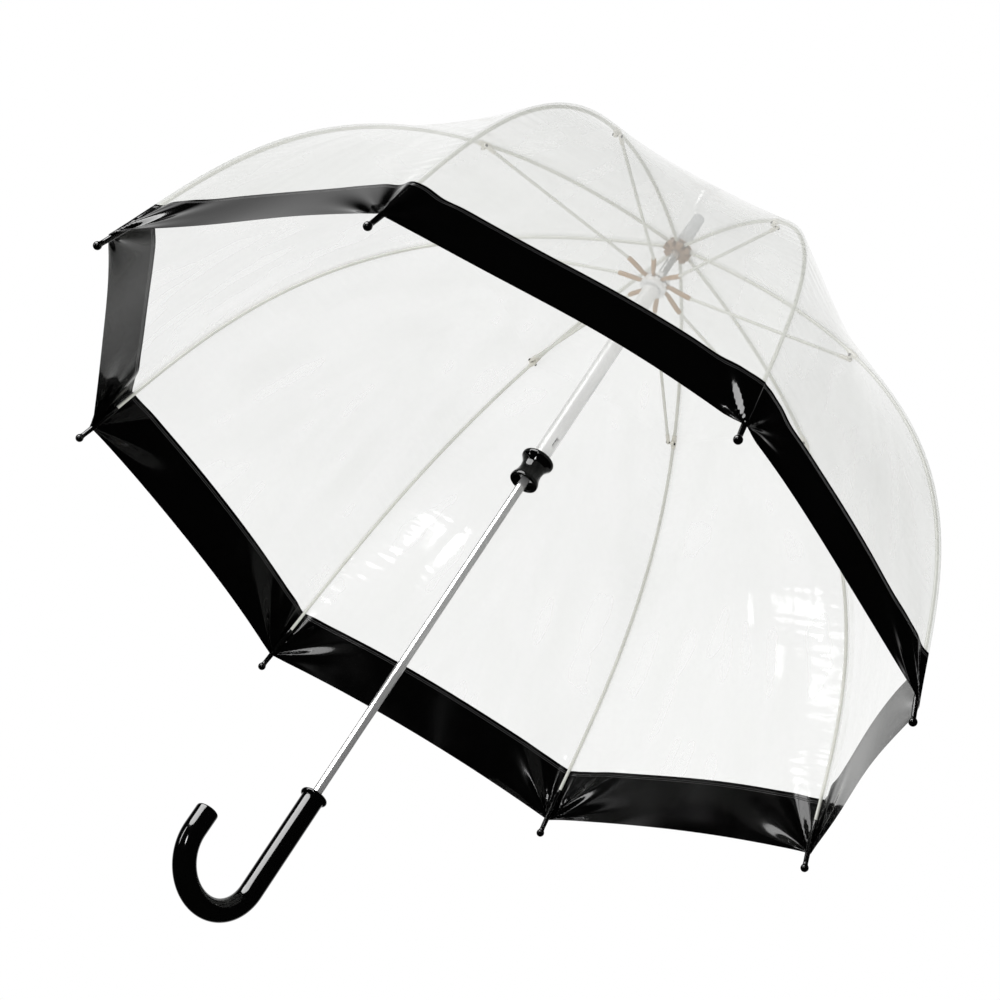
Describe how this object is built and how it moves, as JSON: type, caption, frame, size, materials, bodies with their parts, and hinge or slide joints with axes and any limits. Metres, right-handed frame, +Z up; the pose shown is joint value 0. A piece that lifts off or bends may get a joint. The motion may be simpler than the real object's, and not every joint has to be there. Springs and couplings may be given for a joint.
{
  "type": "stick umbrella",
  "caption": "Open dome umbrella with a clear film canopy, black rim band, white rods, sliding runner, slim chrome shaft and a black crook handle.",
  "frame": {"origin": "on the shaft's axis, at the middle of the straight part of the grip, where a hand holds it", "axes": "+Z up the shaft towards the ferrule, the crook bends towards -X, and +Y completes a right-handed frame"},
  "size_m": [0.6626, 0.6626, 0.7149],
  "materials": {
    "chrome_shaft": "polished chrome plating",
    "black_plastic": "glossy black moulded plastic",
    "grey_plastic": "satin light grey moulded plastic",
    "tan_plastic": "dull tan moulded plastic",
    "white_plastic": "glossy white moulded plastic",
    "white_rod": "off-white glass-fibre rod with tan moulded end fittings",
    "wire_steel": "drawn steel wire",
    "spring_steel": "bright spring steel",
    "clear_film": "clear flexible film, glossy, faint grey tint",
    "black_film": "opaque black flexible film, glossy"
  },
  "bodies": {
    "shaft": {"shaft": "chrome_shaft", "handle_crook": "black_plastic", "ferrule": "grey_plastic", "top_notch": "tan_plastic", "notch_wire": "wire_steel"},
    "runner": {"runner_tube": "white_plastic", "runner_spool": "black_plastic", "runner_crown": "white_plastic", "runner_wire": "wire_steel"},
    "top_catch": {"top_catch": "spring_steel"},
    "bottom_catch": {"bottom_catch": "spring_steel"},
    "rib_upper_0": {"rib_upper_0": "white_rod", "gore_0": "clear_film"},
    "rib_lower_0": {"rib_lower_0": "white_rod", "tip_0": "black_plastic", "border_0": "black_film"},
    "stretcher_0": {"stretcher_0": "white_rod"},
    "rib_upper_1": {"rib_upper_1": "white_rod", "gore_1": "clear_film"},
    "rib_lower_1": {"rib_lower_1": "white_rod", "tip_1": "black_plastic", "border_1": "black_film"},
    "stretcher_1": {"stretcher_1": "white_rod"},
    "rib_upper_2": {"rib_upper_2": "white_rod", "gore_2": "clear_film"},
    "rib_lower_2": {"rib_lower_2": "white_rod", "tip_2": "black_plastic", "border_2": "black_film"},
    "stretcher_2": {"stretcher_2": "white_rod"},
    "rib_upper_3": {"rib_upper_3": "white_rod", "gore_3": "clear_film"},
    "rib_lower_3": {"rib_lower_3": "white_rod", "tip_3": "black_plastic", "border_3": "black_film"},
    "stretcher_3": {"stretcher_3": "white_rod"},
    "rib_upper_4": {"rib_upper_4": "white_rod", "gore_4": "clear_film"},
    "rib_lower_4": {"rib_lower_4": "white_rod", "tip_4": "black_plastic", "border_4": "black_film"},
    "stretcher_4": {"stretcher_4": "white_rod"},
    "rib_upper_5": {"rib_upper_5": "white_rod", "gore_5": "clear_film"},
    "rib_lower_5": {"rib_lower_5": "white_rod", "tip_5": "black_plastic", "border_5": "black_film"},
    "stretcher_5": {"stretcher_5": "white_rod"},
    "rib_upper_6": {"rib_upper_6": "white_rod", "gore_6": "clear_film"},
    "rib_lower_6": {"rib_lower_6": "white_rod", "tip_6": "black_plastic", "border_6": "black_film"},
    "stretcher_6": {"stretcher_6": "white_rod"},
    "rib_upper_7": {"rib_upper_7": "white_rod", "gore_7": "clear_film"},
    "rib_lower_7": {"rib_lower_7": "white_rod", "tip_7": "black_plastic", "border_7": "black_film"},
    "stretcher_7": {"stretcher_7": "white_rod"}
  },
  "joints": [
    {"name": "runner_slide", "type": "slide", "parent": "shaft", "child": "runner", "axis": [0, 0, 1], "range_m": [-0.2972, 0], "deforming": ["gore_0", "gore_1", "gore_2", "gore_3", "gore_4", "gore_5", "gore_6", "gore_7", "border_0", "border_1", "border_2", "border_3", "border_4", "border_5", "border_6", "border_7"]},
    {"name": "top_catch_press", "type": "hinge", "parent": "shaft", "child": "top_catch", "pos_m": [0, -0.00205, 0.395], "axis": [1, 0, 0], "range_deg": [0, 7], "stiffness_Nm_per_rad": 0.02, "springref_deg": -1.15},
    {"name": "bottom_catch_press", "type": "hinge", "parent": "shaft", "child": "bottom_catch", "pos_m": [0, 0.00205, 0.0745], "axis": [1, 0, 0], "range_deg": [0, 7], "stiffness_Nm_per_rad": 0.02, "springref_deg": -1.15},
    {"name": "rib_upper_0_fold", "type": "hinge", "parent": "shaft", "child": "rib_upper_0", "pos_m": [0.00863, 0.00397, 0.5953], "axis": [-0.4179, 0.9085, 0], "range_deg": [0, 68.15]},
    {"name": "rib_lower_0_straighten", "type": "hinge", "parent": "rib_upper_0", "child": "rib_lower_0", "pos_m": [0.16126, 0.07417, 0.53973], "axis": [-0.4179, 0.9085, 0], "range_deg": [-36.28, 0]},
    {"name": "stretcher_0_swing", "type": "hinge", "parent": "runner", "child": "stretcher_0", "pos_m": [0.00818, 0.00376, 0.5561], "axis": [-0.4179, 0.9085, 0], "range_deg": [-92.78, 0]},
    {"name": "rib_upper_1_fold", "type": "hinge", "parent": "shaft", "child": "rib_upper_1", "pos_m": [0.0033, 0.00891, 0.5953], "axis": [-0.9379, 0.3469, 0], "range_deg": [0, 68.15]},
    {"name": "rib_lower_1_straighten", "type": "hinge", "parent": "rib_upper_1", "child": "rib_lower_1", "pos_m": [0.06158, 0.16648, 0.53973], "axis": [-0.9379, 0.3469, 0], "range_deg": [-36.28, 0]},
    {"name": "stretcher_1_swing", "type": "hinge", "parent": "runner", "child": "stretcher_1", "pos_m": [0.00312, 0.00844, 0.5561], "axis": [-0.9379, 0.3469, 0], "range_deg": [-92.78, 0]},
    {"name": "rib_upper_2_fold", "type": "hinge", "parent": "shaft", "child": "rib_upper_2", "pos_m": [-0.00397, 0.00863, 0.5953], "axis": [-0.9085, -0.4179, 0], "range_deg": [0, 68.15]},
    {"name": "rib_lower_2_straighten", "type": "hinge", "parent": "rib_upper_2", "child": "rib_lower_2", "pos_m": [-0.07417, 0.16126, 0.53973], "axis": [-0.9085, -0.4179, 0], "range_deg": [-36.28, 0]},
    {"name": "stretcher_2_swing", "type": "hinge", "parent": "runner", "child": "stretcher_2", "pos_m": [-0.00376, 0.00818, 0.5561], "axis": [-0.9085, -0.4179, 0], "range_deg": [-92.78, 0]},
    {"name": "rib_upper_3_fold", "type": "hinge", "parent": "shaft", "child": "rib_upper_3", "pos_m": [-0.00891, 0.0033, 0.5953], "axis": [-0.3469, -0.9379, 0], "range_deg": [0, 68.15]},
    {"name": "rib_lower_3_straighten", "type": "hinge", "parent": "rib_upper_3", "child": "rib_lower_3", "pos_m": [-0.16648, 0.06158, 0.53973], "axis": [-0.3469, -0.9379, 0], "range_deg": [-36.28, 0]},
    {"name": "stretcher_3_swing", "type": "hinge", "parent": "runner", "child": "stretcher_3", "pos_m": [-0.00844, 0.00312, 0.5561], "axis": [-0.3469, -0.9379, 0], "range_deg": [-92.78, 0]},
    {"name": "rib_upper_4_fold", "type": "hinge", "parent": "shaft", "child": "rib_upper_4", "pos_m": [-0.00863, -0.00397, 0.5953], "axis": [0.4179, -0.9085, 0], "range_deg": [0, 68.15]},
    {"name": "rib_lower_4_straighten", "type": "hinge", "parent": "rib_upper_4", "child": "rib_lower_4", "pos_m": [-0.16126, -0.07417, 0.53973], "axis": [0.4179, -0.9085, 0], "range_deg": [-36.28, 0]},
    {"name": "stretcher_4_swing", "type": "hinge", "parent": "runner", "child": "stretcher_4", "pos_m": [-0.00818, -0.00376, 0.5561], "axis": [0.4179, -0.9085, 0], "range_deg": [-92.78, 0]},
    {"name": "rib_upper_5_fold", "type": "hinge", "parent": "shaft", "child": "rib_upper_5", "pos_m": [-0.0033, -0.00891, 0.5953], "axis": [0.9379, -0.3469, 0], "range_deg": [0, 68.15]},
    {"name": "rib_lower_5_straighten", "type": "hinge", "parent": "rib_upper_5", "child": "rib_lower_5", "pos_m": [-0.06158, -0.16648, 0.53973], "axis": [0.9379, -0.3469, 0], "range_deg": [-36.28, 0]},
    {"name": "stretcher_5_swing", "type": "hinge", "parent": "runner", "child": "stretcher_5", "pos_m": [-0.00312, -0.00844, 0.5561], "axis": [0.9379, -0.3469, 0], "range_deg": [-92.78, 0]},
    {"name": "rib_upper_6_fold", "type": "hinge", "parent": "shaft", "child": "rib_upper_6", "pos_m": [0.00397, -0.00863, 0.5953], "axis": [0.9085, 0.4179, 0], "range_deg": [0, 68.15]},
    {"name": "rib_lower_6_straighten", "type": "hinge", "parent": "rib_upper_6", "child": "rib_lower_6", "pos_m": [0.07417, -0.16126, 0.53973], "axis": [0.9085, 0.4179, 0], "range_deg": [-36.28, 0]},
    {"name": "stretcher_6_swing", "type": "hinge", "parent": "runner", "child": "stretcher_6", "pos_m": [0.00376, -0.00818, 0.5561], "axis": [0.9085, 0.4179, 0], "range_deg": [-92.78, 0]},
    {"name": "rib_upper_7_fold", "type": "hinge", "parent": "shaft", "child": "rib_upper_7", "pos_m": [0.00891, -0.0033, 0.5953], "axis": [0.3469, 0.9379, 0], "range_deg": [0, 68.15]},
    {"name": "rib_lower_7_straighten", "type": "hinge", "parent": "rib_upper_7", "child": "rib_lower_7", "pos_m": [0.16648, -0.06158, 0.53973], "axis": [0.3469, 0.9379, 0], "range_deg": [-36.28, 0]},
    {"name": "stretcher_7_swing", "type": "hinge", "parent": "runner", "child": "stretcher_7", "pos_m": [0.00844, -0.00312, 0.5561], "axis": [0.3469, 0.9379, 0], "range_deg": [-92.78, 0]}
  ],
  "couplings": [
    {"joint": "rib_upper_0_fold", "follows": "runner_slide", "rad_per_m": -4.0022},
    {"joint": "rib_lower_0_straighten", "follows": "runner_slide", "rad_per_m": 2.1306},
    {"joint": "stretcher_0_swing", "follows": "runner_slide", "rad_per_m": 5.4486},
    {"joint": "rib_upper_1_fold", "follows": "runner_slide", "rad_per_m": -4.0022},
    {"joint": "rib_lower_1_straighten", "follows": "runner_slide", "rad_per_m": 2.1306},
    {"joint": "stretcher_1_swing", "follows": "runner_slide", "rad_per_m": 5.4486},
    {"joint": "rib_upper_2_fold", "follows": "runner_slide", "rad_per_m": -4.0022},
    {"joint": "rib_lower_2_straighten", "follows": "runner_slide", "rad_per_m": 2.1306},
    {"joint": "stretcher_2_swing", "follows": "runner_slide", "rad_per_m": 5.4486},
    {"joint": "rib_upper_3_fold", "follows": "runner_slide", "rad_per_m": -4.0022},
    {"joint": "rib_lower_3_straighten", "follows": "runner_slide", "rad_per_m": 2.1306},
    {"joint": "stretcher_3_swing", "follows": "runner_slide", "rad_per_m": 5.4486},
    {"joint": "rib_upper_4_fold", "follows": "runner_slide", "rad_per_m": -4.0022},
    {"joint": "rib_lower_4_straighten", "follows": "runner_slide", "rad_per_m": 2.1306},
    {"joint": "stretcher_4_swing", "follows": "runner_slide", "rad_per_m": 5.4486},
    {"joint": "rib_upper_5_fold", "follows": "runner_slide", "rad_per_m": -4.0022},
    {"joint": "rib_lower_5_straighten", "follows": "runner_slide", "rad_per_m": 2.1306},
    {"joint": "stretcher_5_swing", "follows": "runner_slide", "rad_per_m": 5.4486},
    {"joint": "rib_upper_6_fold", "follows": "runner_slide", "rad_per_m": -4.0022},
    {"joint": "rib_lower_6_straighten", "follows": "runner_slide", "rad_per_m": 2.1306},
    {"joint": "stretcher_6_swing", "follows": "runner_slide", "rad_per_m": 5.4486},
    {"joint": "rib_upper_7_fold", "follows": "runner_slide", "rad_per_m": -4.0022},
    {"joint": "rib_lower_7_straighten", "follows": "runner_slide", "rad_per_m": 2.1306},
    {"joint": "stretcher_7_swing", "follows": "runner_slide", "rad_per_m": 5.4486}
  ]
}
